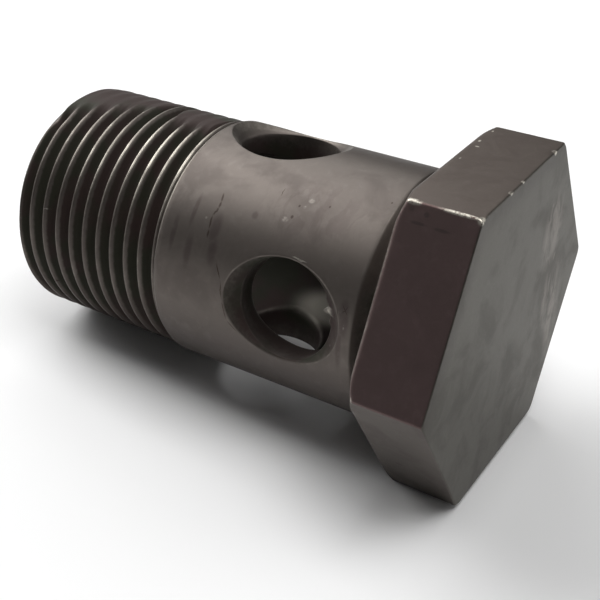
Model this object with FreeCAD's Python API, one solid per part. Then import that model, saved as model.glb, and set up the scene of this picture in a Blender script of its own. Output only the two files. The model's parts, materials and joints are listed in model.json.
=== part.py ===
import FreeCAD, Part
import math
import os

# Banjo bolt: one turned steel piece with a hexagon head, a plain shank, a threaded end,
# a blind bore from the tip and two pairs of cross holes into that bore.
# The bolt is made upright on its own axis: z = 0 is the seat face under the head,
# +z runs up through the head and -z runs down the shank to the tip.
# It is then laid down as it comes to rest. Lengths are in millimetres, angles in degrees.

# Head
across_flats = 27.0
head_height = 6.6
seat_chamfer_diameter = 29.2
front_chamfer_diameter = 30.8
head_chamfer_angle = 30.0

# Shank, with a relief groove turned into it right under the head
shank_diameter = 22.2
shank_length = 21.7
neck_diameter = 20.6
neck_length = 2.2
neck_corner_radius = 0.7

# Thread
thread_diameter = 21.75
thread_length = 17.2
tip_chamfer = 1.0

# Bore along the axis, drilled from the tip
bore_diameter = 16.5
bore_end_below_seat = 3.2
drill_point_angle = 118.0
bore_mouth_chamfer = 0.5

# Cross holes: each pair is one drilling straight through both walls.
# An angle of 0 points up when the bolt lies at rest, and 90 points to -Y.
cross_hole_diameter = 8.7
countersink_diameter = 11.2
countersink_angle = 100.0
near_pair_below_seat = 8.9
far_pair_below_seat = 15.9
near_pair_angle = 79.5
far_pair_angle = near_pair_angle - 90.0

# Worked out from the dimensions above
flat_radius = across_flats / 2
corner_radius = flat_radius / math.cos(math.radians(30))
shank_radius = shank_diameter / 2
neck_radius = neck_diameter / 2
thread_radius = thread_diameter / 2
tip_radius = thread_radius - tip_chamfer
length_under_head = shank_length + thread_length
chamfer_slope = math.tan(math.radians(head_chamfer_angle))

Z_AXIS = FreeCAD.Vector(0, 0, 1)
CENTRE = FreeCAD.Vector(0, 0, 0)


def turned(outline):
    """A solid turned about the axis from an outline of (radius, height) points."""
    points = [FreeCAD.Vector(radius, 0, height) for radius, height in outline]
    wire = Part.makePolygon(points + points[:1])
    return Part.Face(wire).revolve(CENTRE, Z_AXIS, 360)


def head():
    """The hexagon, its corners cut back by a cone at the front and one at the seat."""
    corners = []
    for side in range(7):
        turn = math.radians(30 + 60 * side)
        x, y = corner_radius * math.cos(turn), corner_radius * math.sin(turn)
        corners.append(FreeCAD.Vector(x, y, 0))
    hexagon = Part.Face(Part.makePolygon(corners))
    prism = hexagon.extrude(Z_AXIS * head_height)
    outside = 2 * corner_radius
    seat_circle = seat_chamfer_diameter / 2
    front_circle = front_chamfer_diameter / 2
    seat_rise = (outside - seat_circle) * chamfer_slope
    front_drop = (outside - front_circle) * chamfer_slope
    middle = head_height / 2
    envelope = turned(
        [
            (0, 0),
            (seat_circle, 0),
            (outside, seat_rise),
            (outside, max(middle, seat_rise)),
            (outside, max(middle, head_height - front_drop)),
            (front_circle, head_height),
            (0, head_height),
        ]
    )
    return prism.common(envelope)


def stem():
    """Neck groove, plain shank and thread cylinder, turned as one."""
    shoulder = shank_radius - neck_radius
    overlap = head_height / 2
    return turned(
        [
            (0, overlap),
            (neck_radius, overlap),
            (neck_radius, shoulder - neck_length),
            (shank_radius, -neck_length),
            (shank_radius, -shank_length),
            (thread_radius, -shank_length),
            (thread_radius, tip_chamfer - length_under_head),
            (tip_radius, -length_under_head),
            (0, -length_under_head),
        ]
    )


def bore():
    """The blind axial drilling, with its cone at the end and a chamfered mouth."""
    radius = bore_diameter / 2
    floor = -bore_end_below_seat
    point = radius / math.tan(math.radians(drill_point_angle / 2))
    mouth = radius + bore_mouth_chamfer
    past = 1.0
    return turned(
        [
            (0, floor + point),
            (radius, floor),
            (radius, bore_mouth_chamfer - length_under_head),
            (mouth, -length_under_head),
            (mouth + past, -length_under_head - past),
            (0, -length_under_head - past),
        ]
    )


def cross_hole_pair(below_seat, angle):
    """One drilling through both walls of the shank, countersunk from outside at each end."""
    radius = cross_hole_diameter / 2
    wide = countersink_diameter / 2
    half_angle = math.radians(countersink_angle / 2)
    sink_depth = (wide - radius) / math.tan(half_angle)
    past = 1.0
    height = FreeCAD.Vector(0, 0, -below_seat)
    tool = None
    for side in (angle, angle + 180):
        turn = math.radians(side)
        outward = FreeCAD.Vector(math.cos(turn), math.sin(turn), 0)
        drill = Part.makeCylinder(radius, shank_radius + past, height, outward)
        bottom = height + outward * (shank_radius - sink_depth)
        flare = wide + past * math.tan(half_angle)
        sink = Part.makeCone(radius, flare, sink_depth + past, bottom, outward)
        half = drill.fuse(sink)
        tool = half if tool is None else tool.fuse(half)
    return tool


def laid_down(shape):
    """Rests the bolt on one flat of the head and the rim of the thread, over the origin."""
    rim_below_seat = length_under_head - tip_chamfer
    tilt = math.atan2(flat_radius - thread_radius, rim_below_seat)
    sine, cosine = math.sin(tilt), math.cos(tilt)
    tip_end = -tip_radius * sine - length_under_head * cosine
    head_end = flat_radius * sine + head_height * cosine
    along = -(tip_end + head_end) / 2
    lift = flat_radius * cosine
    pose = FreeCAD.Matrix(
        -sine, 0, cosine, along,
        0, -1, 0, 0,
        cosine, 0, sine, lift,
        0, 0, 0, 1,
    )
    print("resting tilt", round(math.degrees(tilt), 3))
    print("seat centre", round(along, 3), 0.0, round(lift, 3))
    return shape.transformed(pose, True)


def banjo_bolt():
    """The whole bolt: head and stem in one, the neck corner rounded, then every hole cut."""
    body = head().fuse(stem()).removeSplitter()
    corner = [
        edge
        for edge in body.Edges
        if isinstance(edge.Curve, Part.Circle)
        and abs(edge.Curve.Radius - neck_radius) < 1e-6
        and abs(edge.Curve.Center.z) < 1e-6
    ]
    body = body.makeFillet(neck_corner_radius, corner)
    body = body.cut(bore())
    body = body.cut(cross_hole_pair(near_pair_below_seat, near_pair_angle))
    body = body.cut(cross_hole_pair(far_pair_below_seat, far_pair_angle))
    return laid_down(body)


os.makedirs("parts", exist_ok=True)
bolt = banjo_bolt()
print("valid", bolt.isValid(), "solids", len(bolt.Solids), "volume", round(bolt.Volume, 1))
print("bounds", bolt.BoundBox)
bolt.Solids[0].exportStep("parts/banjo_bolt.step")
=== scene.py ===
import json
import math

import bpy
import numpy as np
from mathutils import Matrix


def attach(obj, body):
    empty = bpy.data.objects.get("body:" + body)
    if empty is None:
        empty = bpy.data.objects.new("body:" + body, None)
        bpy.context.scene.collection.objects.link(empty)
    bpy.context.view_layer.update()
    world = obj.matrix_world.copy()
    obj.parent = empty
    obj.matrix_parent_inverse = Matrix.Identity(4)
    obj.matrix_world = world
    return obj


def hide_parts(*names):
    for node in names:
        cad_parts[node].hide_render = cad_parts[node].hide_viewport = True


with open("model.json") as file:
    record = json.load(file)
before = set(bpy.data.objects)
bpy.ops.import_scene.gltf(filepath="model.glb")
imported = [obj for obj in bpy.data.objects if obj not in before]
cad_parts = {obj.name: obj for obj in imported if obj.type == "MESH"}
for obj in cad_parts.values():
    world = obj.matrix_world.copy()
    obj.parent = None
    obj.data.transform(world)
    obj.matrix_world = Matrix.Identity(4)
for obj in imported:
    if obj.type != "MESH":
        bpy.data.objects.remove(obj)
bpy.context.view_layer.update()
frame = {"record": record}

# The bolt's surface is worked out in millimetres in the bolt's own frame: the height runs along
# the axis, 0 at the seat under the head and rising towards the head's front face, and the turn
# is the angle about the axis, 0 pointing up and 90 degrees to the side that the camera sees.
MM = 0.001
FULL_TURN = 2 * math.pi
mounts = {mount["name"]: mount for mount in frame["record"]["mounts"]}
toward_head = -np.array(mounts["seat"]["axis"])
toward_side = np.array([0.0, -1.0, 0.0])
toward_up = np.cross(toward_side, toward_head)
thread_point = np.array(mounts["thread"]["pos_m"])
seat_above_thread = (np.array(mounts["seat"]["pos_m"]) - thread_point) @ toward_head
seat_centre = thread_point + toward_head * seat_above_thread


def height_of(mount):
    """Height of a mount's middle above the seat, in millimetres."""
    return (np.array(mounts[mount]["pos_m"]) - seat_centre) @ toward_head / MM


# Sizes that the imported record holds
thread_radius = mounts["thread"]["dims"]["r_mm"]
shank_radius = mounts["shank"]["dims"]["r_mm"]
bore_radius = mounts["bore"]["dims"]["r_mm"]
thread_rim = height_of("thread") - mounts["thread"]["dims"]["length_mm"] / 2
shank_end = height_of("thread") + mounts["thread"]["dims"]["length_mm"] / 2
neck_end = height_of("shank") + mounts["shank"]["dims"]["length_mm"] / 2
bore_end = height_of("bore") + mounts["bore"]["dims"]["length_mm"] / 2
bore_mouth = height_of("bore") - mounts["bore"]["dims"]["length_mm"] / 2
head_height = height_of("hexagon")

# Sizes that it doesn't hold
flat_radius = 13.5
front_chamfer_radius = 15.4
seat_chamfer_radius = 14.6
chamfer_angle = math.radians(30)
neck_radius = 10.3
neck_corner = 0.7
tip_chamfer = 1.0
mouth_chamfer = 0.5
drill_half_angle = math.radians(59)
hole_radius = 4.35
sink_radius = 5.6
sink_half_angle = math.radians(50)

# Cross holes: each pair's place, and the soil, polish and burr of its hole that is seen. The burr's
# angle is about the hole's axis, in degrees.
near_pair = {"turn": 79.5, "height": -8.9, "soil": 0.6, "polish": 0.0, "burr": 0.75}
far_pair = {"turn": -10.5, "height": -15.9, "soil": 0.0, "polish": 0.45, "burr": 0.0}
hole_edge_break = 0.45
burr_angle = 106.0

# Worn seat edges of the flats: how far up a flat they reach, and their slope against it
seat_bevel = 0.28
seat_bevel_angle = math.radians(32)

# Height at which the thread stops against the shank
shoulder = shank_end - 0.2

# Thread: right-handed, with a groove centre at this height where the turn is 40 degrees
pitch = 1.6
groove_height = -27.89
groove_turn = math.radians(40)
crest_flat = pitch / 8
flank_slope = math.sqrt(3)
root_width = 0.17
groove_widening = 0.02
crest_softness = 0.035

# Along the top the thread is smeared flat: heights and the turns in degrees that it reaches there
smear_edge = [
    (-38.9, 25), (-37, 19), (-35, 15), (-33.5, 9), (-32, 7), (-30.6, 3), (-29.9, -4),
    (-29.3, -20), (-28.5, -20), (-28, -1), (-27, 6), (-25, 8), (-23.3, 9), (-22.9, -20),
]

# In degrees: its back edge, how far it runs past its near edge, and how wide both edges fade
smear_back = -50.0
smear_past_edge = 4
smear_fade = 16
smear_back_fade = 8

# In the smear: depth of the trace that is left, the shares of the groove that is filled and of
# the crest's polish that is lost, and the dirt
smear_depth = 0.06
smear_filled = 0.93
smear_polish_lost = 0.9
smear_dirt = 0.92

# Dings in the head: place in the bolt's own axes, reach and depth
head_dings = [
    ((13.5, 7.6, 6.6), 0.3, 0.12),
    ((0.0, 15.4, 0.3), 0.35, 0.1),
    ((13.5, -5.65, 6.6), 0.3, 0.08),
    ((13.45, 2.8, 6.6), 0.3, 0.06),
]

# Ding in the tip's rim: its middle and its reach, each as a turn in degrees and a height, and its
# depth for each millimetre above the tip's end
tip_ding = {"turn": 22.0, "height": -38.2, "round": 5.0, "along": 0.9, "depth": 0.42}

# Turns between which the neck's groove is wiped clean, in degrees, and over how many it fades
wiped_neck = (8.0, 62.0)
wiped_fade = 10

# Painted highlight on the thread's crests, brightest where they face the lamp: middle turn and
# reach in degrees, the crests' plain wear elsewhere, and how the highlight grows with the height
highlight_turn = 30.0
highlight_reach = 24.0
least_crest_wear = 0.3
highlight_along = [(-38, 0.1), (-31, 0.65), (-25, 1)]

# Depths in the thread over which the crest's polish fades and the dirt gathers
polish_fade = 0.12
dirt_depth = 0.3

# Burr in the near hole's edge: its spread in degrees, how fast its humps follow, and its wear for
# each millimetre that it stands in
burr_spread = 12
burr_rises = 27
burr_wear = 2.5

# Wear of the head's edges and of its seat edges, how far this reaches in bevels, and the wear of
# the cross holes' rims
edge_wear = 0.35
seat_wear = 0.4
seat_wear_reach = 1.3
sink_rim_wear = (0.1, 0.3, 0.3, 0.3, 0.1)
inner_rim_wear = (0.2, 0.5, 0.6, 0.5, 0.2)

# Soil in a cross hole: what each row down adds, the most there is, the share that stays on the
# inner rim, and the wear above which there is none
soil_per_row = 0.13
most_soil = 0.85
inner_rim_soil = 0.75
clean_wear = 0.7

# Colours of the steel, its oil film, which also paints shade on the face's rim and the shank's
# underside, its lighter mottling, bare metal, two kinds of dirt, and dark and pale stains, the pale
# one also painted light on the front face
coat_colour = (0.126, 0.110, 0.099, 1)
film_and_shade_colour = (0.094, 0.080, 0.073, 1)
light_colour = (0.175, 0.157, 0.143, 1)
bare_colour = (0.56, 0.53, 0.46, 1)
dirt_colour = (0.03, 0.017, 0.014, 1)
olive_colour = (0.021, 0.02, 0.011, 1)
stain_colour = (0.08, 0.063, 0.06, 1)
pale_and_light_colour = (0.23, 0.21, 0.19, 1)

# Tints of painted light and shade for the head's front face, the flat seen beside it and the top
# flat, against the shank
face_shade_tint = (0.85, 0.92, 0.89, 1)
side_flat_shade_tint = (0.98, 0.8, 0.86, 1)
top_flat_shade_tint = (0.93, 0.89, 0.87, 1)

# How strongly each mask shows in the colour
rim_shade_share = 0.9
film_share = 0.5
mottle_share = 0.25
stain_share = 0.7
scuff_share = 0.42
pale_share = 0.75
wear_and_highlight_share = 0.75
bore_light_share = 0.7
cut_share = 0.65

# Roughness of the coat, what the masks add to it, what bare metal takes from it, and how far dirt
# hides the metal
coat_roughness = 0.44
film_roughness = 0.06
grain_roughness = 0.08
dirt_roughness = 0.2
bare_smoothness = 0.12
dirt_dullness = 0.6

# Spacing of the turning rings, and the relief of the rings, the grain and the unevenness
ring_spacing = 0.16
ring_relief = 0.0012
grain_relief = 0.0025
uneven_relief = 0.012

# Where the head's faces begin and end: heights, distances along a flat's own direction, and the
# distance at which the painted shade on the front face's rim begins
face_start, face_end = 6.45, 6.58
flat_start, flat_end = 13.3, 13.48
rim_shade_start = 11.2
side_flat_direction = (0.5, 0.866)

# How far a mark reaches above and below the shank's surface, and how far a scratch wavers
mark_depth = 1.2
scratch_waver = 0.35

# Scratches as a width and (turn in degrees, height) points, and specks as turn, height and reach
dark_scratches = [
    (0.14, [(37.8, -16.94), (41.6, -16.81), (44.4, -16.79), (48.1, -17.07)]),
    (0.13, [(48.1, -17.07), (54.4, -17.02), (58.2, -16.86)]),
    (0.09, [(66.8, -15.45), (73.9, -14.82), (82.7, -14.55), (91.9, -14.07), (96.3, -13.02)]),
    (0.06, [(26.9, -11.93), (31.7, -11.89)]),
    (0.045, [(66.5, -3.4), (71.0, -2.7)]),
    (0.045, [(66.8, -2.7), (70.8, -3.4)]),
    (0.06, [(68.0, -3.75), (78.0, -3.4)]),
    (0.12, [(107.0, -35.3), (112.0, -34.2)]),
    (0.12, [(118.5, -35.6), (122.0, -34.3)]),
    (0.1, [(9.0, -24.0), (12.5, -22.9)]),
    (0.25, [(68.5, -34.6), (68.5, -34.0)]),
]
dark_specks = [(38.9, -10.08, 0.22), (33.3, -9.93, 0.16), (29.8, -7.42, 0.13), (19.5, -2.84, 0.14)]
bright_scratches = [
    (0.12, [(69.6, -35.07), (67.7, -33.66)]),
    (0.1, [(54.7, -8.74), (55.4, -7.3)]),
]
bright_specks = [(3.7, -30.61, 0.3), (87.5, -4.17, 0.12)]

# Dark and pale stains on the shank, as turn, height and reach round it and along it
shank_stains = [
    (53.0, -16.4, 1.7, 0.7), (62.9, -16.1, 1.6, 0.6), (48.0, -18.9, 1.9, 0.3),
    (66.0, -18.5, 2.0, 0.5), (75.0, -2.9, 1.5, 0.5), (84.0, -3.2, 3.2, 0.35),
    (60.0, -20.3, 2.0, 0.35), (42.8, -13.3, 0.5, 0.4), (69.5, -3.1, 1.3, 0.6),
]
pale_specks = [
    (40.7, -10.6, 0.3, 0.4), (29.5, -9.15, 0.3, 0.35), (33.0, -9.44, 0.2, 0.2),
    (50.0, -17.6, 0.15, 0.15), (76.0, -2.9, 0.3, 0.1),
]
scuffed_patch = (34.0, -8.5, 4.2, 6.5)

# Dark stains on the head: middle, turn of its own axes in degrees, and reach along them
head_stains = [
    ((13.03, 8.07, 1.1), 30, (0.3, 0.3, 0.3)),
    ((12.86, 8.16, 2.35), 30, (0.25, 0.3, 0.3)),
    ((12.2, 8.54, 1.9), -60, (0.16, 0.3, 0.9)),
    ((12.15, 8.56, 3.8), -60, (0.16, 0.3, 0.9)),
    ((-8.9, 10.45, 2.4), 120, (0.3, 0.3, 0.5)),
]

# In the same form: bright marks on the head, a painted pool of light on the bore's wall where light
# falls in through the top hole, and pale streaks on the front face with painted light on one side
head_marks = [
    ((13.48, -5.72, 6.55), 0, (0.4, 0.35, 0.4)),
    ((13.47, 2.82, 6.5), 0, (0.25, 0.35, 0.25)),
    ((13.48, 0.68, 6.52), 0, (0.2, 0.22, 0.2)),
    ((13.45, 7.75, 6.5), 30, (0.5, 0.55, 0.45)),
    ((13.45, 7.75, 4.9), 30, (0.2, 0.25, 2.2)),
    ((13.4, 7.7, 1.1), 30, (0.35, 0.35, 0.9)),
    ((0.0, 15.5, 0.3), 90, (0.5, 0.4, 0.5)),
    ((13.5, -6.7, 0.7), 0, (0.2, 0.2, 0.12)),
    ((13.5, -4.4, 0.6), 0, (0.2, 0.25, 0.15)),
    ((13.5, -3.3, 0.9), 0, (0.2, 0.12, 0.25)),
    ((13.5, -0.6, 0.7), 0, (0.2, 0.2, 0.1)),
]
painted_bore_light_patch = [((-7.2, -4.0, -12.8), 29, (1.3, 2.8, 5.5))]
face_streaks_and_light = [
    ((8.3, -7.1, 6.6), 10, (0.3, 0.7, 0.3)),
    ((2.6, -8.7, 6.6), -20, (0.6, 0.25, 0.3)),
    ((0.8, -10.9, 6.6), 0, (0.4, 0.4, 0.3)),
    ((-3.6, -9.8, 6.6), 3, (6.5, 2.0, 0.3)),
    ((-1.5, -8.0, 6.6), 5, (4.0, 1.2, 0.3)),
    ((5.5, -7.5, 6.6), -8, (4.5, 2.6, 0.3)),
]

# The studio, in metres: floor, and lamps with the height of the point that they face
floor_width = 3.0
floor_colour = (0.88, 0.88, 0.88, 1)
world_colour = (0.05, 0.05, 0.05, 1)
lamp_distance = 0.45
lamp_aim = 0.012
lamp_size = 0.28

# How finely the surface is divided: columns round the bolt, rows along one quarter's border, and
# how strongly the head's columns crowd towards its corners
around = 240
per_sector = around // 4
sector_rows = 64
corner_crowding = 0.75

# Points nearer to each other than about this, in millimetres, are one
weld_step = 0.00017

# Rounding of the countersinks' edges, and sharpness of the head's edges
edge_radius = 0.09
edge_sharpness = 34.0

tip_end = thread_rim - tip_chamfer
tip_radius = thread_radius - tip_chamfer
first_turn = math.radians(far_pair["turn"] - 45)
turns = first_turn + FULL_TURN * np.arange(around + 1) / around
sheets = []


def add_sheet(points, wear, soil):
    """Keeps a grid of points, rows by columns, with wear and soil for each row or point."""
    shape = points.shape[:2]
    masks = [np.broadcast_to(np.asarray(mask, float), shape) for mask in (wear, soil)]
    sheets.append((points, np.stack(masks, axis=-1)))


def turned_point(radius, turn, height):
    """Points at a distance from the axis, at an angle about it and at a height along it."""
    radius, turn, height = np.broadcast_arrays(radius, turn, height)
    return np.stack([radius * np.cos(turn), radius * np.sin(turn), height], axis=-1)


def add_turned(outline, soil_share=1):
    """Surface of revolution: each (radius, height, wear, soil) of the outline becomes a ring.

    The soil is multiplied by a share, one for all or one for each turn.
    """
    table = np.array(outline, float)[:, :, None]
    points = turned_point(table[:, 0], turns, table[:, 1])
    add_sheet(points, table[:, 2], table[:, 3] * soil_share)


def smooth(share):
    """Goes from 0 to 1 with a soft start and end, three times the square less twice the cube."""
    share = np.clip(share, 0, 1)
    return share ** 2 * (3 - 2 * share)


def degrees_from_top(turn):
    """A turn in degrees, from half a turn before the top to half a turn past it."""
    return np.degrees((turn + math.pi) % FULL_TURN - math.pi)


def along_height(height, pairs):
    """Value at a height, on straight lines between given (height, value) pairs."""
    return np.interp(height, *zip(*pairs))


def smeared(turn, height):
    """Share by which the thread is smeared flat: 1 between its two edges, and 0 well past them.

    Two sine waves along the height, up to 1 and 0.7 degrees high, make the near edge uneven.
    """
    angle = degrees_from_top(turn)
    edge = along_height(height, smear_edge)
    edge = edge + np.sin(5.1 * height) + 0.7 * np.sin(12.7 * height + 1)
    near = smooth((edge + smear_past_edge - angle) / smear_fade)
    return near * smooth((angle - smear_back) / smear_back_fade)


def crest_wear_and_highlight(turn, height):
    """Crest wear with a painted highlight: most at one turn near the shank, and little elsewhere.
    """
    nearby = np.exp(-((degrees_from_top(turn) - highlight_turn) / highlight_reach) ** 2)
    return least_crest_wear + (1 - least_crest_wear) * nearby * along_height(height, highlight_along)


def thread_depth(turn, height):
    """Depth of the thread's groove below its crest.

    Groove centres lie on a helix that rises by one pitch each turn. Across a groove the depth
    falls by the flank's slope times the distance from the centre, which is rounded at the root,
    and the greater of that and nothing is taken softly, which rounds the crest's two edges.
    Where the thread is smeared, a shallow trace of the groove is left.
    """
    lead = (height - groove_height) / pitch - (turn - groove_turn) / FULL_TURN
    offset = (lead - np.round(lead)) * pitch
    half_groove = (pitch - crest_flat) / 2
    depth = flank_slope * (half_groove - np.hypot(offset, root_width) + groove_widening)
    depth = (depth + np.sqrt(depth ** 2 + crest_softness ** 2)) / 2
    flat = smeared(turn, height)
    return depth * (1 - smear_filled * flat) + smear_depth * flat


def add_thread():
    """Threaded stretch: rows follow the helix, so that crests and roots fall on rows.

    A row's height is its own place in the pitch plus the rise at each angle, held between the
    tip's end and the shank's start. The radius is the crest's less the groove's depth, cut back
    by the cone of the tip's chamfer. The ding in the tip's rim is a bell in turn and height.
    """
    # Places across the groove: the crest's middle, both sides of its edge, and down the flank
    half = (pitch - crest_flat) / 2
    places = np.array([-0.5 * pitch, -half - 0.03, -half + 0.03, -0.45, -0.28, -0.12])
    places = np.concatenate([places, [0.0], -places[:0:-1]])
    count = int((shoulder - tip_end) / pitch) + 4
    start = groove_height + pitch * np.floor((tip_end - groove_height) / pitch - 2)
    rows = (start + pitch * np.arange(count)[:, None] + places).ravel()[:, None]
    rise = (turns - groove_turn) / FULL_TURN
    heights = np.clip(rows + pitch * (rise - np.floor(rise[0])), tip_end, shoulder)
    depth = thread_depth(turns, heights)
    tip_cone = tip_radius + (heights - tip_end)
    ding_round = (np.degrees(turns) - tip_ding["turn"]) / tip_ding["round"]
    ding_along = (heights - tip_ding["height"]) / tip_ding["along"]
    ding = tip_ding["depth"] * np.exp(-(ding_round ** 2 + ding_along ** 2)) * (heights - tip_end)
    radius = np.minimum(thread_radius - depth, tip_cone) - ding
    flat = smeared(turns, heights)
    crest = np.exp(-depth / polish_fade) * (heights > thread_rim)
    # The crests' polish takes the painted highlight, strongest where the crests face the lamp
    crest = crest * (1 - smear_polish_lost * flat) * crest_wear_and_highlight(turns, heights)
    dirt = np.clip(depth / dirt_depth, 0, 1) * (1 - flat) + smear_dirt * flat
    add_sheet(turned_point(radius, turns, heights), crest, dirt)


def surface_height(radius, across):
    """How far out from the axis a cylinder lies, at a distance to the side of a hole's axis."""
    return np.sqrt(radius ** 2 - across ** 2)


def sink_rim(cosine):
    """Distance from a hole's axis at which its countersink meets the shank, by Newton's steps.

    On the cone the distance is the hole's radius plus the cone's slope times the height above
    its narrow end, and the height there is the shank's own.
    """
    slope = math.tan(sink_half_angle)
    narrow_end = shank_radius - (sink_radius - hole_radius) / slope
    reach = np.full_like(cosine, sink_radius)
    for _ in range(12):
        height = surface_height(shank_radius, reach * cosine)
        error = hole_radius + slope * (height - narrow_end) - reach
        reach = reach + error / (1 + slope * reach * cosine ** 2 / height)
    return reach, narrow_end


def rounded(start, corner, end, count):
    """Rows between start and end along a parabola that is pulled towards the corner."""
    steps = np.linspace(0, 1, count + 2)[1:-1, None, None]
    return (1 - steps) ** 2 * start + 2 * steps * (1 - steps) * corner + steps ** 2 * end


def border(low, high, radius, hole_height):
    """Polar angle and distance, about a hole's axis, of points round one quarter's border."""
    side = np.arange(per_sector) / per_sector
    rise = np.arange(sector_rows) / sector_rows
    across = np.concatenate([side, np.ones(sector_rows), 1 - side, np.zeros(sector_rows), [0]])
    along = np.concatenate([np.zeros(per_sector), rise, np.ones(per_sector), 1 - rise, [0]])
    sideways = radius * np.sin(math.pi / 2 * (across - 0.5))
    upward = low + (high - low) * along - hole_height
    return np.arctan2(upward, sideways), np.hypot(sideways, upward)


def add_quarter(turn, hole_height, low, high, bore_top, grime, polish, burr):
    """A quarter of the shank, its cross hole and the quarter of the bore behind it, in one sheet.

    Each row is a closed curve about the hole's axis, given by its distance from that axis and
    its height along it. Rows run in from the quarter's border to the countersink's rim, down the
    cone and the hole's wall, and out again over the bore to the border of its quarter. A burr
    stands in from the hole's edge at one side, in a few humps that fall off both ways.
    """
    outer_angle, outer_reach = border(low, high, shank_radius, hole_height)
    inner_angle, inner_reach = border(low, bore_top, bore_radius, hole_height)
    angle_gap = (inner_angle - outer_angle + math.pi) % FULL_TURN - math.pi
    inner_angle = outer_angle + angle_gap

    def on_cylinder(radius, reach, angle):
        return np.stack([reach, surface_height(radius, reach * np.cos(angle))], axis=-1)

    # Over the shank, round the countersink's rim and down its cone
    rim, narrow_end = sink_rim(np.cos(outer_angle))
    soft = np.minimum(edge_radius, 0.45 * (rim - hole_radius))
    spread = np.linspace(1, 0, 23)[:, None] ** 1.15
    reach = (rim + edge_radius) * (1 - spread) + outer_reach * spread
    surface = on_cylinder(shank_radius, reach, outer_angle)
    corner = on_cylinder(shank_radius, rim, outer_angle)
    into_cone = np.stack([np.full_like(rim, math.sin(sink_half_angle)),
                          np.full_like(rim, math.cos(sink_half_angle))], axis=-1)
    cone_top = corner - into_cone * soft[:, None] / math.sin(sink_half_angle)
    cone_foot = np.stack([np.full_like(rim, hole_radius), np.full_like(rim, narrow_end)], axis=-1)
    cone = cone_top + (cone_foot - cone_top) * np.array([0, 0.5, 0.9])[:, None, None]
    mouth_rows = rounded(surface[-1], corner, cone_top, 3)

    # Down the hole's wall, round its inner edge and out over the bore
    wall_share = np.array([0.03, 0.2, 0.4, 0.6, 0.8, 0.97])[:, None]
    wall_angle = outer_angle + angle_gap * wall_share
    inner_wall = surface_height(bore_radius, hole_radius * np.cos(wall_angle)) + hole_edge_break
    wall_height = narrow_end + (inner_wall - narrow_end) * wall_share
    wall = np.stack([np.full_like(wall_height, hole_radius), wall_height], axis=-1)

    lip = on_cylinder(bore_radius, np.full_like(rim, hole_radius), inner_angle)
    spread = np.linspace(0, 1, 8)[:, None]
    reach = (hole_radius + hole_edge_break) * (1 - spread) + inner_reach * spread
    inside = on_cylinder(bore_radius, reach, inner_angle)
    lip_rows = rounded(lip + [0, hole_edge_break], lip, inside[0], 5)

    # All rows in one, with the wear on both rims, the burr, and soil that thickens down the hole
    curves = np.concatenate([surface, mouth_rows, cone, wall, lip_rows, inside])
    angles = np.concatenate([
        np.broadcast_to(outer_angle, (len(surface) + len(mouth_rows) + len(cone), len(rim))),
        wall_angle,
        np.broadcast_to(inner_angle, (len(lip_rows) + len(inside), len(rim))),
    ])
    wear = np.zeros(curves.shape[:2])
    first = len(surface)
    wear[first - 1:first + 4] = np.array(sink_rim_wear)[:, None]
    edge = first + len(mouth_rows) + len(cone)
    wear[first:edge] = np.maximum(wear[first:edge], polish)
    swing = np.degrees(outer_angle) - burr_angle
    humps = 0.6 + 0.4 * np.cos(np.radians(burr_rises * swing))
    humps = np.exp(-(swing / burr_spread) ** 2) * humps
    for row, share in ((edge - 1, 0.45), (edge, 1.0), (edge + 1, 0.6)):
        curves[row, :, 0] -= burr * share * humps
        wear[row] = np.clip(burr_wear * burr * humps, 0, 1)
    first = edge + len(wall)
    wear[first:first + 5] = np.array(inner_rim_wear)[:, None]
    soil = np.zeros(len(curves))
    down = np.arange(len(curves)) - len(surface) - len(mouth_rows)
    gathered = np.clip(grime * (down < 3) + soil_per_row * down, 0, most_soil)
    soil[down >= 0] = gathered[down >= 0]
    soil[first:first + 5] *= inner_rim_soil

    outward = np.array([math.cos(turn), math.sin(turn), 0])
    sideways = np.array([-math.sin(turn), math.cos(turn), 0])
    reach, out = curves[..., 0], curves[..., 1]
    points = out[..., None] * outward + (reach * np.cos(angles))[..., None] * sideways
    points[..., 2] = hole_height + reach * np.sin(angles)
    add_sheet(points, wear, soil[:, None] * (wear < clean_wear))


def head_distance(points):
    """Signed distance to the head's surface, below nothing inside, with its edges rounded.

    It is the soft maximum (the logarithm of a sum of exponentials) of the distances to the six
    flats and their worn seat edges, the two faces and the two cones that cut the corners back.
    """
    across = np.hypot(points[..., 0], points[..., 1])
    height = points[..., 2]
    sine, cosine = math.sin(chamfer_angle), math.cos(chamfer_angle)
    planes = [
        -height,
        height - head_height,
        (across - front_chamfer_radius) * sine + (height - head_height) * cosine,
        (across - seat_chamfer_radius) * sine - height * cosine,
    ]
    for side in range(6):
        turn = side * FULL_TURN / 6
        flat = points[..., 0] * math.cos(turn) + points[..., 1] * math.sin(turn) - flat_radius
        bevel = flat * math.cos(seat_bevel_angle)
        bevel = bevel + (seat_bevel - height) * math.sin(seat_bevel_angle)
        planes += [flat, bevel]
    planes = np.stack(planes)
    return np.log(np.exp(edge_sharpness * planes).sum(axis=0)) / edge_sharpness


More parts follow.
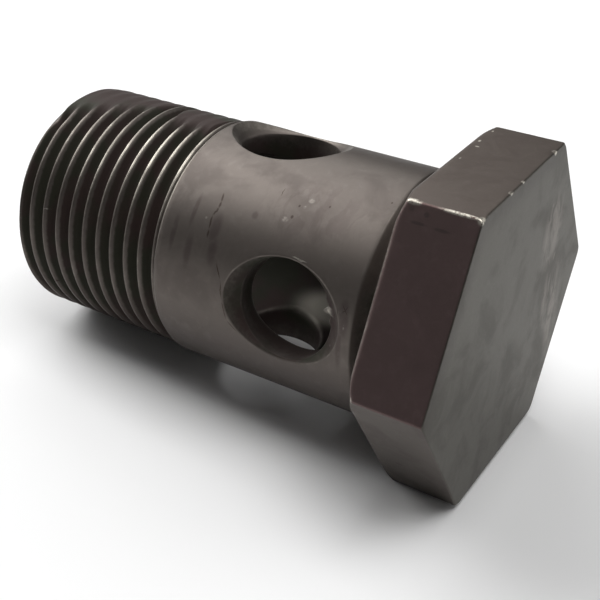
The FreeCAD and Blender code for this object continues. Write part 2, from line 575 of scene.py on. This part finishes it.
def add_head():
    """The hexagon: rays from its middle, through a grid on the sharp hexagon, to its surface.

    Columns crowd towards the six corners, and rows towards both edges of the side. Along each
    ray the surface is found by halving the interval where the signed distance changes sign.
    """
    corner_phase = 6 * (turns - math.radians(30))
    crowded = turns - corner_crowding / 6 * np.sin(corner_phase)
    from_flat = (crowded + math.radians(30)) % math.radians(60) - math.radians(30)
    hexagon = flat_radius / np.cos(from_flat)
    seat_ring = neck_radius + neck_corner
    seat_steps = np.array([0, 0.25, 0.5, 0.7, 0.8, 0.87, 0.92, 0.96, 1])[:, None]
    side_steps = np.array([0.1, 0.2, 0.31, 0.43, 0.56, 0.72, 0.95, 1.4, 2.3])
    side_steps = np.concatenate([side_steps, [head_height / 2], head_height - side_steps[::-1]])
    front_steps = np.array([1, 0.992, 0.984, 0.975, 0.965, 0.953, 0.94, 0.92, 0.88, 0.8])
    front_steps = np.concatenate([front_steps, [0.65, 0.5, 0.35, 0.2, 0.1, 0]])[:, None]

    radius = np.concatenate([
        seat_ring + (hexagon - seat_ring) * seat_steps,
        np.broadcast_to(hexagon, (len(side_steps), len(turns))),
        hexagon * front_steps,
    ])
    angle = np.concatenate([
        turns + (crowded - turns) * seat_steps,
        np.broadcast_to(crowded, (len(side_steps) + len(front_steps), len(turns))),
    ])
    height = np.concatenate([
        np.zeros(len(seat_steps)), side_steps, np.full(len(front_steps), head_height),
    ])[:, None]
    guide = turned_point(radius, angle, height)
    middle = np.array([0, 0, head_height / 2])
    near, far = np.full(guide.shape[:2], 0.5), np.full(guide.shape[:2], 1.1)
    for _ in range(40):
        half = (near + far) / 2
        outside = head_distance(middle + (guide - middle) * half[..., None]) > 0
        near, far = np.where(outside, near, half), np.where(outside, half, far)
    share = np.where(height == 0, np.minimum(near, 1), near)
    share[0] = 1
    points = middle + (guide - middle) * share[..., None]
    rounding = np.linalg.norm(guide - points, axis=-1)
    worn_edge = np.clip(rounding * edge_sharpness, 0, 1)
    worn_seat = np.clip(seat_wear_reach - points[..., 2] / seat_bevel, 0, 1)
    worn_seat = worn_seat * (points[..., 2] > 0.01)
    wear = np.maximum(edge_wear * worn_edge, seat_wear * worn_seat ** 0.5)
    for place, size, depth in head_dings:
        away = points - np.array(place)
        hit = np.exp(-(np.linalg.norm(away, axis=-1) / size) ** 2)[..., None]
        inward = middle - np.array(place)
        points = points + hit * depth * inward / np.linalg.norm(inward)
    add_sheet(points, wear, 0)


def bore_outline():
    """Drill cone and the bore's top ring."""
    apex = bore_end + bore_radius / math.tan(drill_half_angle)
    middle = (apex + bore_end) / 2
    return [(0, apex, 0, 1), (bore_radius / 2, middle, 0, 1), (bore_radius, bore_end, 0, 1)]


def mouth_outline(bore_bottom):
    """The bore below the cross holes, its chamfered mouth and the tip's flat ring."""
    wide = bore_radius + mouth_chamfer
    heights = np.linspace(bore_bottom, bore_mouth + 0.15, 7)
    return [(bore_radius, height, 0, 1) for height in heights] + [
        (bore_radius + 0.02, bore_mouth - 0.02, 0.6, 0.8),
        (wide - 0.08, tip_end + 0.1, 0.3, 0.5),
        (wide + 0.02, tip_end + 0.01, 0.9, 0.3),
        (wide + 0.1, tip_end, 0.2, 0.2),
        (tip_radius - 0.1, tip_end, 0.2, 0.1),
        (tip_radius, tip_end, 0.9, 0),
    ]


def add_neck(high):
    """From the shank's top over its shoulder, down into the relief groove and round its corner.

    The soil thins out where the groove is wiped clean, between two turns.
    """
    neck_depth = shank_radius - neck_radius
    outline = [
        (shank_radius, high, 0, 0),
        (shank_radius - 0.01, neck_end - 0.04, 0.1, 0),
        (shank_radius - 0.04, neck_end + 0.02, 0.2, 0),
        (shank_radius - 0.12, neck_end + 0.11, 0.1, 0.3),
        (neck_radius + 0.4, neck_end + neck_depth - 0.4, 0, 0.5),
        (neck_radius + 0.08, neck_end + neck_depth - 0.1, 0, 0.6),
        (neck_radius, neck_end + neck_depth + 0.06, 0, 0.8),
    ]
    for step in np.linspace(0, 1, 7):
        swing = math.pi / 2 * step
        outline.append((neck_radius + neck_corner * (1 - math.cos(swing)),
                        -neck_corner * (1 - math.sin(swing)), 0, 0.8 - 0.5 * step))
    first, last = wiped_neck
    angle = degrees_from_top(turns)
    wiped = smooth((angle - first) / wiped_fade) * smooth((last - angle) / wiped_fade)
    add_turned(outline, 1 - wiped)


def add_shank_end(low):
    """The shoulder that the thread runs into, and the shank's chamfered end edge."""
    thread_surface = thread_radius - thread_depth(turns, np.full_like(turns, shoulder))
    rings = np.array([
        (thread_radius + 0.04, shoulder, 0.5, 0.1),
        (thread_radius + 0.06, shoulder + 0.015, 1.1, 0),
        (shank_radius - 0.11, shoulder + 0.08, 1.1, 0),
        (shank_radius - 0.03, shoulder + 0.2, 1.1, 0),
        (shank_radius, low, 0.5, 0),
    ])[:, :, None]
    foot = turned_point(thread_surface, turns, shoulder)
    edge = turned_point(rings[:, 0], turns, rings[:, 1])
    masks = np.concatenate([[[[0.1], [0.5]]], rings[:, 2:]])
    # The edge's wear takes the same painted highlight as the crests, bright where it faces the lamp
    wear = masks[:, 0] * crest_wear_and_highlight(turns, shoulder)
    add_sheet(np.concatenate([foot[None], edge]), wear, masks[:, 1])


def build_bolt():
    """Adds every sheet, welds them into one closed mesh and returns the object."""
    low = shank_end + 0.08
    high = neck_end - 0.12
    add_turned(bore_outline())
    for pair in (near_pair, far_pair):
        for side in (0, 180):
            marks = [pair[name] if side == 0 else 0.0 for name in ("soil", "polish", "burr")]
            turn = math.radians(pair["turn"] + side)
            add_quarter(turn, pair["height"], low, high, bore_end, *marks)
    add_turned(mouth_outline(low))
    add_thread()
    add_shank_end(low)
    add_neck(high)
    add_head()

    points = np.concatenate([sheet.reshape(-1, 3) for sheet, masks in sheets])
    masks = np.concatenate([masks.reshape(-1, 2) for sheet, masks in sheets])
    quads = []
    base = 0
    for sheet, _ in sheets:
        rows, columns = sheet.shape[:2]
        index = base + np.arange(rows * columns).reshape(rows, columns)
        corners = [index[:-1, :-1], index[:-1, 1:], index[1:, 1:], index[1:, :-1]]
        quads.append(np.stack(corners, axis=-1).reshape(-1, 4))
        base += rows * columns
    cells = np.round(points / weld_step).astype(np.int64)
    _, first, same = np.unique(cells, axis=0, return_index=True, return_inverse=True)
    points, masks = points[first], masks[first]
    quads = same.ravel()[np.concatenate(quads)]

    # A quad with two corners in one place is a triangle, and one with more is nothing
    doubled = quads == np.roll(quads, -1, axis=1)
    count = doubled.sum(axis=1)
    faces = quads[count == 0].tolist()
    for corner in range(4):
        kept = [place for place in range(4) if place != corner]
        faces += quads[(count == 1) & doubled[:, corner]][:, kept].tolist()

    placed = seat_centre + MM * (points @ np.stack([toward_up, toward_side, toward_head]))
    mesh = bpy.data.meshes.new("banjo_bolt_surface")
    mesh.from_pydata(placed.tolist(), [], faces)
    # The wear also carries the painted highlight on the thread's crests and on the shank's end edge
    for name, column in (("wear", 0), ("soil", 1)):
        attribute = mesh.attributes.new(name, "FLOAT", "POINT")
        attribute.data.foreach_set("value", masks[:, column].astype(np.float32))
    mesh.shade_smooth()
    mesh.update()
    surface = bpy.data.objects.new("bolt_surface", mesh)
    bpy.context.scene.collection.objects.link(surface)
    return surface


def add_node(tree, kind, inputs=None, **settings):
    """Adds a shader node, sets its properties, and fills its inputs with sockets or values."""
    made = tree.nodes.new("ShaderNode" + kind)
    for name, value in settings.items():
        setattr(made, name, value)
    for name, value in (inputs or {}).items():
        if isinstance(value, bpy.types.NodeSocket):
            tree.links.new(value, made.inputs[name])
        else:
            made.inputs[name].default_value = value
    return made


def calculate(tree, operation, *values):
    """Result of one Math node on sockets or numbers."""
    return add_node(tree, "Math", dict(enumerate(values)), operation=operation).outputs[0]


def product(tree, first, second):
    """The first times the second."""
    return calculate(tree, "MULTIPLY", first, second)


def greater(tree, first, second):
    """The greater of the two."""
    return calculate(tree, "MAXIMUM", first, second)


def vector_result(tree, operation, first, second):
    """Result of one Vector Math node that gives a vector."""
    return add_node(tree, "VectorMath", {0: first, 1: second}, operation=operation).outputs[0]


def remap(tree, value, low, high, to_low=0.0, to_high=1.0):
    """Takes a value from low..high to another range, with a soft start and end."""
    limits = {"Value": value, "From Min": low, "From Max": high,
              "To Min": to_low, "To Max": to_high}
    return add_node(tree, "MapRange", limits, interpolation_type="SMOOTHSTEP").outputs["Result"]


def mix_colour(tree, share, first, second, blend="MIX"):
    """Colour between the first and the second, or the two multiplied, by the share."""
    colours = {0: share, 6: first, 7: second}
    return add_node(tree, "Mix", colours, data_type="RGBA", blend_type=blend).outputs[2]


def noise(tree, vector, scale, detail=2.0, roughness=0.5, distortion=0.0):
    """Noise of 0 to 1 with so many bumps per millimetre."""
    limits = {"Vector": vector, "Scale": scale, "Detail": detail, "Roughness": roughness,
              "Distortion": distortion}
    return add_node(tree, "TexNoise", limits).outputs["Fac"]


def new_group(name, inputs, outputs):
    """An empty shader node group with named sockets: its tree, input node and output node."""
    tree = bpy.data.node_groups.new(name, "ShaderNodeTree")
    for socket, kind in inputs:
        tree.interface.new_socket(socket, in_out="INPUT", socket_type="NodeSocket" + kind)
    for socket in outputs:
        tree.interface.new_socket(socket, in_out="OUTPUT", socket_type="NodeSocketFloat")
    return tree, tree.nodes.new("NodeGroupInput"), tree.nodes.new("NodeGroupOutput")


def placed_group(tree, group, inputs):
    """Places a node group, fills its named inputs and returns its one output."""
    return add_node(tree, "Group", inputs, node_tree=group).outputs[0]


def turning_rings_group():
    """Tool marks left by turning: fine rings about the axis, on the shank and on the flat faces.

    The place is stretched round the axis, and the height plus the distance from the axis runs
    across the rings, so the same noise gives rings on a cylinder and on a face.
    """
    sockets = [("Place", "Vector"), ("Spacing", "Float")]
    tree, start, end = new_group("turning_rings", sockets, ["Rings"])
    flat = vector_result(tree, "MULTIPLY", start.outputs["Place"], (1, 1, 0))
    reach = add_node(tree, "VectorMath", {0: flat}, operation="LENGTH").outputs["Value"]
    parts = add_node(tree, "SeparateXYZ", {0: start.outputs["Place"]}).outputs
    across = calculate(tree, "ADD", parts[2], reach)
    across = calculate(tree, "DIVIDE", across, start.outputs["Spacing"])
    slow = [product(tree, part, 0.12) for part in parts[:2]]
    stretched = add_node(tree, "CombineXYZ", {0: slow[0], 1: slow[1], 2: across}).outputs[0]
    tree.links.new(noise(tree, stretched, 1.0, 2.0, 0.6), end.inputs["Rings"])
    return tree


def blotches_group():
    """Uneven patches, such as an oil film: noise of a given size, cut softly at two levels."""
    sockets = [("Place", "Vector"), ("Size", "Float"), ("Low", "Float"), ("High", "Float")]
    tree, start, end = new_group("blotches", sockets, ["Mask"])
    scale = calculate(tree, "DIVIDE", 1.0, start.outputs["Size"])
    cloud = noise(tree, start.outputs["Place"], scale, 4.0, 0.6, 0.5)
    mask = remap(tree, cloud, start.outputs["Low"], start.outputs["High"])
    tree.links.new(mask, end.inputs["Mask"])
    return tree


def broken_mask_group():
    """Where an edge is rubbed bare or a hollow is filled: a painted mask broken up by noise."""
    sockets = [("Painted", "Float"), ("Place", "Vector")]
    tree, start, end = new_group("broken_mask", sockets, ["Mask"])
    cloud = noise(tree, start.outputs["Place"], 1.6, 4.0, 0.65)
    raised = calculate(tree, "ADD", start.outputs["Painted"], product(tree, cloud, 0.5))
    tree.links.new(remap(tree, raised, 0.5, 1.1), end.inputs["Mask"])
    return tree


def small_mark_group():
    """One small mark: 1 at its middle and 0 past its reach along each of its own axes."""
    sockets = [(name, "Vector") for name in ("Place", "Middle", "Rotation", "Reach")]
    tree, start, end = new_group("small_mark", sockets, ["Mask"])
    turned = {"Vector": start.outputs["Place"], "Location": start.outputs["Middle"],
              "Rotation": start.outputs["Rotation"], "Scale": start.outputs["Reach"]}
    local = add_node(tree, "Mapping", turned, vector_type="TEXTURE").outputs[0]
    away = add_node(tree, "VectorMath", {0: local}, operation="LENGTH").outputs["Value"]
    tree.links.new(remap(tree, away, 1.0, 0.35), end.inputs["Mask"])
    return tree


def add_marks(tree, marks):
    """The highest of all marks given as (place socket, middle, turn, reach)."""
    group = bpy.data.node_groups["small_mark"]
    highest = None
    for place, middle, turn, reach in marks:
        inputs = {"Place": place, "Middle": middle, "Rotation": (0, 0, turn), "Reach": reach}
        mask = placed_group(tree, group, inputs)
        highest = mask if highest is None else greater(tree, highest, mask)
    return highest


def unrolled(turn, height):
    """Length round the shank, and height, of a point given by its turn in degrees and height."""
    return math.radians(turn) * shank_radius, height


def scratch_marks(place, scratches):
    """Marks along lines of (turn in degrees, height) points on the unrolled shank."""
    marks = []
    for width, line in scratches:
        points = [unrolled(turn, height) for turn, height in line]
        for (x, y), (next_x, next_y) in zip(points, points[1:]):
            run, rise = next_x - x, next_y - y
            middle = ((x + next_x) / 2, (y + next_y) / 2, 0)
            reach = (math.hypot(run, rise) / 2 + width, width, mark_depth)
            marks.append((place, middle, math.atan2(rise, run), reach))
    return marks


def oval_marks(place, ovals):
    """Marks of (turn in degrees, height, reach round, reach along) on the unrolled shank."""
    return [(place, (*unrolled(turn, height), 0), 0, (reach_round, reach_along, mark_depth))
            for turn, height, reach_round, reach_along in ovals]


def spot_marks(place, spots):
    """Nearly round marks of (turn in degrees, height, reach) on the unrolled shank."""
    return oval_marks(place, [(turn, height, reach, reach * 0.8) for turn, height, reach in spots])


def placed_marks(place, marks):
    """Marks given as a middle, a turn in degrees and a reach, in the bolt's own axes."""
    return [(place, middle, math.radians(angle), reach) for middle, angle, reach in marks]


def own_place(tree):
    """Place in the bolt's own axes, in millimetres: up, to the side, and height."""
    axes = np.stack([toward_up, toward_side, toward_head])
    turned = Matrix(axes.tolist()).to_euler()
    shift = -(axes @ seat_centre) / MM
    objects = add_node(tree, "TexCoord").outputs["Object"]
    mapping = {"Vector": objects, "Location": shift.tolist(), "Rotation": turned,
               "Scale": (1 / MM,) * 3}
    return add_node(tree, "Mapping", mapping).outputs[0]


def unrolled_place(tree, up, side, height):
    """Place on the unrolled shank: length round it, height, and distance above its surface."""
    turn = calculate(tree, "ARCTAN2", side, up)
    squares = calculate(tree, "ADD", product(tree, up, up), product(tree, side, side))
    reach = calculate(tree, "SQRT", squares)
    round_length = product(tree, turn, shank_radius)
    above = calculate(tree, "SUBTRACT", reach, shank_radius)
    return add_node(tree, "CombineXYZ", {0: round_length, 1: height, 2: above}).outputs[0]


def wavering(tree, place, flat_place):
    """The unrolled place moved a little by noise, so that no scratch is quite straight."""
    waver = calculate(tree, "SUBTRACT", noise(tree, place, 1.3, 3.0, 0.6), 0.5)
    return vector_result(tree, "ADD", flat_place, product(tree, waver, scratch_waver))


def streaks(tree, place, stretch, scale, low, high):
    """Noise on a place stretched along its axes, cut softly at two levels."""
    stretched = vector_result(tree, "MULTIPLY", place, stretch)
    return remap(tree, noise(tree, stretched, scale, 4.0, 0.6, 0.8), low, high)


def painted_mask(tree, group, name, place):
    """One of the mesh's own masks, broken up by noise."""
    painted = add_node(tree, "Attribute", attribute_name=name).outputs["Fac"]
    return placed_group(tree, group, {"Painted": painted, "Place": place})


def mark_masks(tree, place, flat_place, wavy_place):
    """Masks of dark cuts, of bright nicks, of dark stains, and of pale marks with painted light on
    the front face.
    """
    small_mark_group()
    ragged = remap(tree, noise(tree, place, 3.5), 0.28, 0.55)
    cuts = scratch_marks(wavy_place, dark_scratches) + spot_marks(flat_place, dark_specks)
    cuts = add_marks(tree, cuts)
    nicks = scratch_marks(wavy_place, bright_scratches) + spot_marks(flat_place, bright_specks)
    nicks = product(tree, add_marks(tree, nicks + placed_marks(place, head_marks)), ragged)

    uneven = remap(tree, noise(tree, place, 1.3, 3.0, 0.6), 0.15, 0.5)
    stains = oval_marks(flat_place, shank_stains) + placed_marks(place, head_stains)
    stained = product(tree, add_marks(tree, stains), uneven)
    scuffed = add_marks(tree, oval_marks(flat_place, [scuffed_patch]))
    rubbing = streaks(tree, flat_place, (0.5, 1.1, 1.0), 1.0, 0.47, 0.6)
    scuffed = product(tree, product(tree, scuffed, rubbing), scuff_share)
    stained = greater(tree, stained, scuffed)

    specks = product(tree, add_marks(tree, oval_marks(flat_place, pale_specks)), ragged)
    brushing = streaks(tree, place, (0.4, 1.2, 1.0), 0.9, 0.38, 0.62)
    # Pale streaks on the front face, with painted light that makes one side of the face lighter
    streaked_face_and_light = product(tree, add_marks(tree, placed_marks(place, face_streaks_and_light)), brushing)
    return cuts, nicks, stained, greater(tree, specks, streaked_face_and_light)


def head_masks(tree, up, side, height):
    """Masks of the head's front face, of the flat beside it and of the top flat, which carry tints
    of painted light and shade, and of the rim, where shade is painted.

    A flat's mask grows with the distance along the flat's own direction, and the rim is the
    part of the front face that lies far out in either flat's direction.
    """
    front = remap(tree, height, face_start, face_end)
    behind = remap(tree, height, face_end, face_start)
    parts = [product(tree, part, share) for part, share in zip((up, side), side_flat_direction)]
    beside = calculate(tree, "ADD", *parts)
    side_flat = product(tree, remap(tree, beside, flat_start, flat_end), behind)
    top_flat = product(tree, remap(tree, up, flat_start, flat_end), behind)
    rim = product(tree, remap(tree, greater(tree, up, beside), rim_shade_start, flat_start), front)
    return front, side_flat, top_flat, rim


def add_relief(tree, shader, relief):
    """Chains a Bump node for each (height, depth in millimetres) and feeds the shader's Normal."""
    normal = None
    for value, depth in relief:
        inputs = {"Strength": 1.0, "Distance": depth * MM, "Height": value}
        if normal is not None:
            inputs["Normal"] = normal
        normal = add_node(tree, "Bump", inputs).outputs["Normal"]
    tree.links.new(normal, shader.inputs["Normal"])


def steel_material():
    """Dark, lightly oiled turned steel: rings, film, dirt in the hollows, bare edges, marks, and
    painted light and shade on the head, the shank's underside and the bore.
    """
    material = bpy.data.materials.new("oiled_steel")
    material.use_nodes = True
    tree = material.node_tree
    shader = tree.nodes["Principled BSDF"]
    place = own_place(tree)
    up, side, height = add_node(tree, "SeparateXYZ", {0: place}).outputs[:3]
    flat_place = unrolled_place(tree, up, side, height)
    wavy_place = wavering(tree, place, flat_place)

    # Rings and grain, the oil film and its finer mottling, and the mesh's wear, which carries the
    # painted highlight on the crests, and its soil
    rings = {"Place": place, "Spacing": ring_spacing}
    rings = placed_group(tree, turning_rings_group(), rings)
    grain = noise(tree, place, 5.0, 3.0, 0.6)
    blotches = blotches_group()
    film, mottle = [
        placed_group(tree, blotches, {"Place": place, "Size": size, "Low": low, "High": high})
        for size, low, high in ((4.5, 0.42, 0.66), (1.1, 0.5, 0.75))
    ]
    broken = broken_mask_group()
    wear_and_highlight, dirty = [painted_mask(tree, broken, name, place) for name in ("wear", "soil")]
    wear_and_highlight = product(tree, wear_and_highlight, remap(tree, noise(tree, place, 0.35, 3.0), 0.36, 0.6, 0.35, 1.0))

    # Marks, painted shade on the shank's underside, and the head's own faces
    cuts, nicks, stained, pale_marks_and_light = mark_masks(tree, place, flat_place, wavy_place)
    painted_bore_light = add_marks(tree, placed_marks(place, painted_bore_light_patch))
    # Painted shade: the shank's underside, from just below the seat, is darkened to the film's
    # colour
    underside_shade = product(tree, remap(tree, up, 1.5, -5.0), remap(tree, height, -1.0, -2.0))
    front, side_flat, top_flat, rim = head_masks(tree, up, side, height)

    # Colour: coat, film with painted shade on the face's rim and the shank's underside, and
    # mottling over it, tints of painted light and shade, stains, pale marks with painted light,
    # bare metal with the painted pool of light in the bore, cuts, and dirt last
    film_and_shade = greater(tree, product(tree, rim, rim_shade_share), product(tree, film, film_share))
    colour = mix_colour(tree, greater(tree, film_and_shade, underside_shade), coat_colour, film_and_shade_colour)
    colour = mix_colour(tree, product(tree, mottle, mottle_share), colour, light_colour)
    # Each face of the head gets its own tint of painted light and shade
    for share, tint in ((front, face_shade_tint), (side_flat, side_flat_shade_tint), (top_flat, top_flat_shade_tint)):
        colour = mix_colour(tree, share, colour, tint, "MULTIPLY")
    colour = mix_colour(tree, product(tree, stained, stain_share), colour, stain_colour)
    colour = mix_colour(tree, product(tree, pale_marks_and_light, pale_share), colour, pale_and_light_colour)
    # The painted pool of light in the bore clears its dirt there and is mixed in like bare metal
    dirty = product(tree, dirty, calculate(tree, "SUBTRACT", 1.0, painted_bore_light))
    bare_and_lit = greater(tree, product(tree, wear_and_highlight, wear_and_highlight_share), nicks)
    bare_and_lit = greater(tree, bare_and_lit, product(tree, painted_bore_light, bore_light_share))
    colour = mix_colour(tree, bare_and_lit, colour, bare_colour)
    colour = mix_colour(tree, product(tree, cuts, cut_share), colour, dirt_colour)
    olive = remap(tree, noise(tree, place, 0.25, 2.0), 0.4, 0.6)
    grime = mix_colour(tree, olive, dirt_colour, olive_colour)
    tree.links.new(mix_colour(tree, dirty, colour, grime), shader.inputs["Base Color"])

    # Roughness starts from the coat's, and what each mask adds or takes comes on top
    rough = calculate(tree, "ADD", coat_roughness, product(tree, film, film_roughness))
    rough = calculate(tree, "ADD", rough, product(tree, grain, grain_roughness))
    rough = calculate(tree, "SUBTRACT", rough, product(tree, bare_and_lit, bare_smoothness))
    rough = calculate(tree, "ADD", rough, product(tree, dirty, dirt_roughness))
    tree.links.new(rough, shader.inputs["Roughness"])
    metal = calculate(tree, "SUBTRACT", 1.0, product(tree, dirty, dirt_dullness))
    tree.links.new(metal, shader.inputs["Metallic"])
    uneven = noise(tree, place, 0.5)
    relief = [(rings, ring_relief), (grain, grain_relief), (uneven, uneven_relief)]
    add_relief(tree, shader, relief)
    return material


def add_floor():
    """A plain pale floor under the bolt, one square about the origin."""
    half = floor_width / 2
    mesh = bpy.data.meshes.new("floor_surface")
    corners = [(-half, -half, 0), (half, -half, 0), (half, half, 0), (-half, half, 0)]
    mesh.from_pydata(corners, [], [(0, 1, 2, 3)])
    floor = bpy.data.objects.new("floor", mesh)
    bpy.context.scene.collection.objects.link(floor)
    material = bpy.data.materials.new("pale_floor")
    material.use_nodes = True
    shader = material.node_tree.nodes["Principled BSDF"]
    shader.inputs["Base Color"].default_value = floor_colour
    shader.inputs["Roughness"].default_value = 0.9
    mesh.materials.append(material)


def pose(place, right, up, back):
    """Matrix that puts a lamp or a camera at a place, with its own three axes as columns."""
    columns = np.array([right, up, back, place]).T
    return Matrix([*columns.tolist(), [0, 0, 0, 1]])


def add_lamp(name, place, aim, size, power):
    """A square soft lamp that faces its aim."""
    lamp = bpy.data.lights.new(name, "AREA")
    lamp.shape = "SQUARE"
    lamp.size = size
    lamp.energy = power
    holder = bpy.data.objects.new(name, lamp)
    back = np.array(place, float) - np.array(aim, float)
    back /= np.linalg.norm(back)
    right = np.cross([0, 0, 1], back)
    right /= np.linalg.norm(right)
    holder.matrix_world = pose(place, right, np.cross(back, right), back)
    bpy.context.scene.collection.objects.link(holder)


def add_camera():
    """The camera as solved from the photograph: its place, its axes and its focal length."""
    place = np.array([45.385, -72.082, 65.663]) * MM
    right = np.array([0.83843, 0.54237, 0.05351])
    forward = np.array([-0.42264, 0.70903, -0.56449])
    right /= np.linalg.norm(right)
    up = np.cross(right, forward)
    up /= np.linalg.norm(up)
    back = np.cross(right, up)
    camera = bpy.data.cameras.new("camera")
    camera.sensor_width = 36
    focal_pixels = 1099.37
    frame_pixels = 600
    camera.lens = camera.sensor_width * focal_pixels / frame_pixels
    camera.clip_start = 0.005
    holder = bpy.data.objects.new("camera", camera)
    holder.matrix_world = pose(place, right, up, back)
    bpy.context.scene.collection.objects.link(holder)
    bpy.context.scene.camera = holder


bolt = build_bolt()
bolt.data.materials.append(steel_material())
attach(bolt, "root")
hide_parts("banjo_bolt")

add_floor()

# Lamps: azimuth and height angle in degrees, and power in watts
lamps = [
    ("side_lamp", 180, 42, 1.38),
    ("back_lamp", 135, 42, 0.65),
    ("top_lamp", 0, 80, 1.08),
    ("low_back_lamp", 45, 12, 0.28),
    ("low_side_lamp", 180, 12, 0.37),
    ("far_lamp", 45, 42, 0.20),
]
for name, azimuth, height_angle, power in lamps:
    azimuth, height_angle = math.radians(azimuth), math.radians(height_angle)
    level = lamp_distance * math.cos(height_angle)
    place = (level * math.cos(azimuth), level * math.sin(azimuth),
             lamp_aim + lamp_distance * math.sin(height_angle))
    add_lamp(name, place, (0, 0, lamp_aim), lamp_size, power)

world = bpy.data.worlds.new("studio")
world.use_nodes = True
world.node_tree.nodes["Background"].inputs["Color"].default_value = world_colour
bpy.context.scene.world = world
bpy.context.scene.view_settings.view_transform = "Standard"
add_camera()
